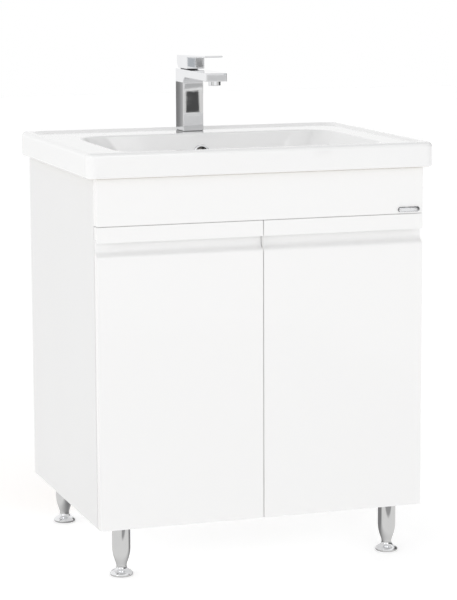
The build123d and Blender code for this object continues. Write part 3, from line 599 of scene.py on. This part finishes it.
ribLook = {    # node, count, rib radius, height, drop of its middle under the node's top, lean
    "trap_inlet_nut": (28, 0.0011, 0.020, 0.0125, (0, 0, 0)),
    "trap_cup": (36, 0.0011, 0.020, 0.0120, (0, 0, 0)),
    "trap_outlet_nut": (26, 0.0010, 0.017, None, (math.pi / 2, 0, 0)),
}
ribber = ribTree(ribShape)
for cadName, (count, rib, height, drop, lean) in ribLook.items():
    low, high = (Vector(corner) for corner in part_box(cadName))
    centre = (low + high) / 2
    if drop:
        centre.z = high.z - drop
    ribs = meshObject(cadName + "_ribs", lambda work: None)
    circle = (high.x - low.x) / 2 - rib * ribShape["sunk"]
    grown(ribs, ribber, {"Count": count, "Circle": circle, "Rib": rib, "Height": height,
                         "Centre": centre, "Lean": lean, "Finish": finishes[slots[cadName]]})
    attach(ribs, "cabinet")
print("ribs made")

studLook = {"thread": 0.0007, "pitch": 0.00125, "sides": 20, "tip": 0.001, "ringsPerTurn": 5}
low, high = (Vector(corner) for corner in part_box("tap_shank"))


def studShape(work):
    rows = threadRows(work, (high.x - low.x) / 2, low.z, high.z, studLook)
    skin(work, rows)
    work.faces.new(rows[0][::-1])
    work.faces.new(rows[-1])
    for point in work.verts:
        point.co.xy += ((low + high) / 2).xy
    bmesh.ops.recalc_face_normals(work, faces=work.faces)


stud = meshObject("tap_threaded_stud", studShape)
stud.data.materials.append(finishes[slots["tap_shank"]])
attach(stud, "cabinet")
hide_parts("tap_shank")
print("stud threaded")

stripLook = {"thick": 0.0020, "back": 0.0012, "clear": 0.0003, "bead": 0.0004,
             "short": 0.001}


def sealStrip(name, body, low, high, along, look):
    # soft white strip that closes the joint between two fronts, with a rounded outer edge
    def build(work):
        across = 2 - along if along else 2
        ends = []
        for end in (low[along], high[along]):
            ring = []
            for side, depth in ((low[across], high[1]), (low[across], low[1] + look["bead"]),
                                (low[across] + look["bead"], low[1]),
                                (high[across] - look["bead"], low[1]),
                                (high[across], low[1] + look["bead"]), (high[across], high[1])):
                spot = [0, depth, 0]
                spot[along], spot[across] = end, side
                ring.append(work.verts.new(spot))
            ends.append(ring)
        skin(work, ends)
        work.faces.new(ends[0])
        work.faces.new(ends[1])
        bmesh.ops.recalc_face_normals(work, faces=work.faces)
    strip = meshObject(name, build)
    strip.data.materials.append(finishes["white_plastic"])
    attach(strip, body)


fascia = [Vector(corner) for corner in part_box("fascia_panel")]
leftDoor = [Vector(corner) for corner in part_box("door_left")]
rightDoor = [Vector(corner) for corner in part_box("door_right")]
face = fascia[0].y + stripLook["back"]
rear = face + stripLook["thick"]
clear, short = stripLook["clear"], stripLook["short"]
sealStrip("dust_strip_top", "cabinet",
          Vector((fascia[0].x + short, face, leftDoor[1].z + clear)),
          Vector((fascia[1].x - short, rear, fascia[0].z)), 0, stripLook)
sealStrip("dust_strip_middle", "door_left",
          Vector((leftDoor[1].x, face, leftDoor[0].z + short)),
          Vector((rightDoor[0].x - clear * 1.5, rear, leftDoor[1].z - short)), 2, stripLook)
print("dust strips fitted")


stageLook = {"half": 12.0, "pale": (0.90, 0.915), "glow": 0.37, "backSpan": (0.35, 0.7),
             "mirrored": (0.74, 0.735, 0.72, 1),
             "mirroredPaintedShade": (0.06, 0.06, 0.065, 1), "mirroredBack": (0.90, 0.90, 0.895, 1),
             # painted shade that mirrors see, first a shadow under the cabinet, then a dark
             # reflection in front: centre, half width and softness along x, then along y, and the
             # share of dark
             "paintedShadowAndReflection": (((0.0, 0.22, 0.12), (0.02, 0.16, 0.12), 0.75),
                         ((0.35, 0.62, 0.06), (-1.6, 1.1, 0.05), 0.6))}


def softBand(wire, centre, half, soft):
    # 1 within half of the centre, fading over soft
    return wire.sums("ABSOLUTE", wire - centre).ease(half + soft, half)


def openBehind(paint, shader):
    # the surface shows only from its front; from behind it isn't there
    turned = paint.add("ShaderNodeNewGeometry", {}, {}, out="Backfacing")
    clear = paint.add("ShaderNodeBsdfTransparent", {}, {})
    mixed = paint.add("ShaderNodeMixShader", {}, {0: turned, 1: shader, 2: clear})
    output = next(n for n in paint.tree.nodes if n.type == "OUTPUT_MATERIAL")
    paint.tree.links.new(mixed.socket, output.inputs["Surface"])


def makeFloor(look):
    # pale floor; mirrors see it darker, as a painted reflection of a room's floor, with painted
    # shadow under the cabinet and a painted dark patch in front
    reach = look["half"]
    corners = [(-reach, -reach, 0), (reach, -reach, 0), (reach, reach, 0), (-reach, reach, 0)]
    floor = meshObject("floor", lambda work: work.faces.new([work.verts.new(p)
                                                             for p in corners]))
    paint = Finish("floor_paint", Roughness=0.8, Emission_Strength=look["glow"])
    tone = paint.blend(paint.noise(3, 3), shade(look["pale"][0]), shade(look["pale"][1]))
    paint.feed(Base_Color=tone, Emission_Color=tone)
    x, y = paint.axis("X"), paint.axis("Y")
    seen = paint.blend(y.ease(*look["backSpan"]), look["mirrored"], look["mirroredBack"])
    # painted shadow under the cabinet and painted dark reflection in front, seen only by mirrors
    for across, along, share in look["paintedShadowAndReflection"]:
        patch = softBand(x, *across) * softBand(y, *along)
        seen = paint.blend(patch * share, seen, look["mirroredPaintedShade"])
    glow = paint.add("ShaderNodeEmission", {}, {"Color": seen, "Strength": 1.0})
    rays = paint.add("ShaderNodeLightPath", {}, {}, out="Is Glossy Ray")
    mixed = paint.add("ShaderNodeMixShader", {},
                      {0: rays, 1: Wire(paint, paint.shader.outputs[0]), 2: glow})
    openBehind(paint, mixed)
    floor.data.materials.append(paint.material)


worldLook = {"strength": 1.00, "rightFade": 0.20, "topFade": 0.34, "left": 1.0, "right": 0.10,
             "zenith": 0.45, "rightSpan": (-0.1, 0.95), "topSpan": (0.25, 0.9),
             "darkTop": (0.45, 0.7), "ceiling": (0.72, 0.9),
             # the bands are angles: centre, half width, softness
             "darkBand": (1.35, 0.75, 0.35), "greyBand": (-1.35, 0.10, 0.06), "greyShare": 0.6}


def makeWorld(look):
    # even white light; mirrors see a bright left, a dark right and a grey ceiling
    world = bpy.data.worlds.new("studio")
    world.use_nodes = True
    sky = Wiring(world.node_tree, "Generated")
    x, y, z = (sky.axis(letter) for letter in "XYZ")
    angle = x.sums("ARCTAN2", x, -y)
    dark = softBand(angle, *look["darkBand"]) * (1 - z.ease(*look["darkTop"]))
    narrow = softBand(angle, *look["greyBand"])
    level = look["left"] - dark * (look["left"] - look["right"]) - narrow * look["greyShare"]
    level = level - z.ease(*look["ceiling"]) * (1 - look["zenith"])
    rays = sky.add("ShaderNodeLightPath", {}, {}, out="Is Glossy Ray")
    even = (1 - x.ease(*look["rightSpan"]) * look["rightFade"]
            - z.ease(*look["topSpan"]) * look["topFade"])
    plain = sky.add("ShaderNodeBackground", {}, {"Color": sky.add("ShaderNodeCombineColor",
                    {}, {0: even, 1: even, 2: even}), "Strength": look["strength"]})
    cameraRays = rays.other("Is Camera Ray")
    white = sky.add("ShaderNodeBackground", {}, {"Color": (1, 1, 1, 1), "Strength": 1.0})
    mirrored = sky.add("ShaderNodeBackground", {}, {"Color": sky.add("ShaderNodeCombineColor",
                       {}, {0: level, 1: level, 2: level}), "Strength": 1.0})
    first = sky.add("ShaderNodeMixShader", {}, {0: rays, 1: plain, 2: mirrored})
    both = sky.add("ShaderNodeMixShader", {}, {0: cameraRays, 1: first, 2: white})
    sky.add("ShaderNodeOutputWorld", {}, {"Surface": both}, out=None)
    bpy.context.scene.world = world


def flagCard(name, corners, grey, tint=0.0, fade=None):
    # small card that only mirrors see; fade is (low y, high y, grey at the low y), and grey
    # is then the grey at the high y
    card = meshObject(name, lambda work: work.faces.new([work.verts.new(p) for p in corners]))
    paint = Finish(name + "_paint", Roughness=0.9, Emission_Strength=1.0)
    tone = paint.blend(paint.noise(40, 2), shade(grey, -tint), shade(grey * 1.12, -tint))
    if fade:
        tone = paint.blend(paint.axis("Y").ease(fade[0], fade[1]), shade(fade[2]), tone)
        openBehind(paint, Wire(paint, paint.shader.outputs[0]))
    paint.feed(Base_Color=paint.blend(paint.noise(4, 1), shade(0.01), shade(0.012)),
               Emission_Color=tone)
    card.data.materials.append(paint.material)
    for kind in ("camera", "diffuse", "shadow", "transmission", "volume_scatter"):
        setattr(card, "visible_" + kind, False)


def flagSeenIn(name, mirrorY, cardY, corners, grey, tint):
    # corners are (x, z) on a mirror face at mirrorY where the camera is to see the card
    eye = Vector(cameraSettings["place"])
    eye.y = 2 * mirrorY - eye.y
    spread = (eye.y - cardY) / (eye.y - mirrorY)
    flagCard(name, [(eye.x + (x - eye.x) * spread, cardY, eye.z + (z - eye.z) * spread)
                    for x, z in corners], grey, tint)


makeCamera(cameraSettings)
makeFloor(stageLook)
makeWorld(worldLook)
bpy.context.scene.view_settings.view_transform = "Standard"
lights = {    # place, target, size and watts
    "key": ((-3.8, -1.8, 2.4), (0, 0, 0.5), 2.2, 15),
    "fill": ((0.4, -3.8, 2.3), (0, 0.1, 0.7), 1.4, 7),
    "top": ((0.2, 0.4, 3.4), (0, 0.05, 0.72), 1.6, 2),
}
for name, (place, target, size, watts) in lights.items():
    areaLight(name, place, target, size, watts)
# y of the front faces that mirror the cards
mirrors = {"column": 0.1695, "block": 0.1535, "spout": 0.0245, "badge": -0.2385}
flags = {    # mirror, y of the card, corners (x, z) where it is seen, its grey and lilac tint
    "flag_column": ("column", -0.6, [(-0.0147, 0.7800), (0.0135, 0.7825), (0.0105, 0.8425),
                                     (-0.0147, 0.8425)], 0.05, 0.0),
    "flag_column_foot": ("column", 0.12, [(-0.022, 0.760), (0.022, 0.760), (0.022, 0.7775),
                                          (-0.022, 0.7755)], 0.52, 0.0),
    "flag_arch": ("column", -0.6, [(-0.0185, 0.847), (0.0190, 0.850), (0.0185, 0.860),
                                   (0.0, 0.866), (-0.0165, 0.8615)], 0.44, 0.0),
    "flag_block_dark": ("block", -0.6, [(0.0005, 0.8880), (0.0160, 0.8880), (0.0160, 0.9080),
                                        (0.0005, 0.9080)], 0.24, 0.0),
    "flag_block_light": ("block", -0.6, [(-0.0160, 0.8880), (-0.0010, 0.8880),
                                         (-0.0010, 0.9080), (-0.0160, 0.9080)], 0.46, 0.05),
    "flag_spout": ("spout", -0.6, [(-0.0195, 0.8700), (0.0195, 0.8700), (0.0195, 0.8815),
                                   (-0.0195, 0.8815)], 0.60, 0.0),
    "flag_badge": ("badge", -0.75, [(0.2612, 0.6424), (0.2967, 0.6424), (0.2972, 0.6486),
                                    (0.2760, 0.6496), (0.2612, 0.6496)], 0.88, 0.0),
    "flag_badge_edge": ("badge", -0.85, [(0.2560, 0.6395), (0.3030, 0.6395), (0.3030, 0.6540),
                                         (0.2560, 0.6540)], 0.07, 0.0),
}
for name, (mirror, cardY, corners, grey, tint) in flags.items():
    flagSeenIn(name, mirrors[mirror], cardY, corners, grey, tint)
besideLook = {"x": -0.10, "y": (0.38, 0.49), "z": (0.735, 0.8425), "grey": 0.18,
              "fade": (0.400, 0.462, 0.60)}
(front, back), (foot, head) = besideLook["y"], besideLook["z"]
flagCard("flag_beside", [(besideLook["x"], y, z) for y, z in
                         ((front, foot), (back, foot), (back, head), (front, head))],
         besideLook["grey"], fade=besideLook["fade"])
print("stage set")
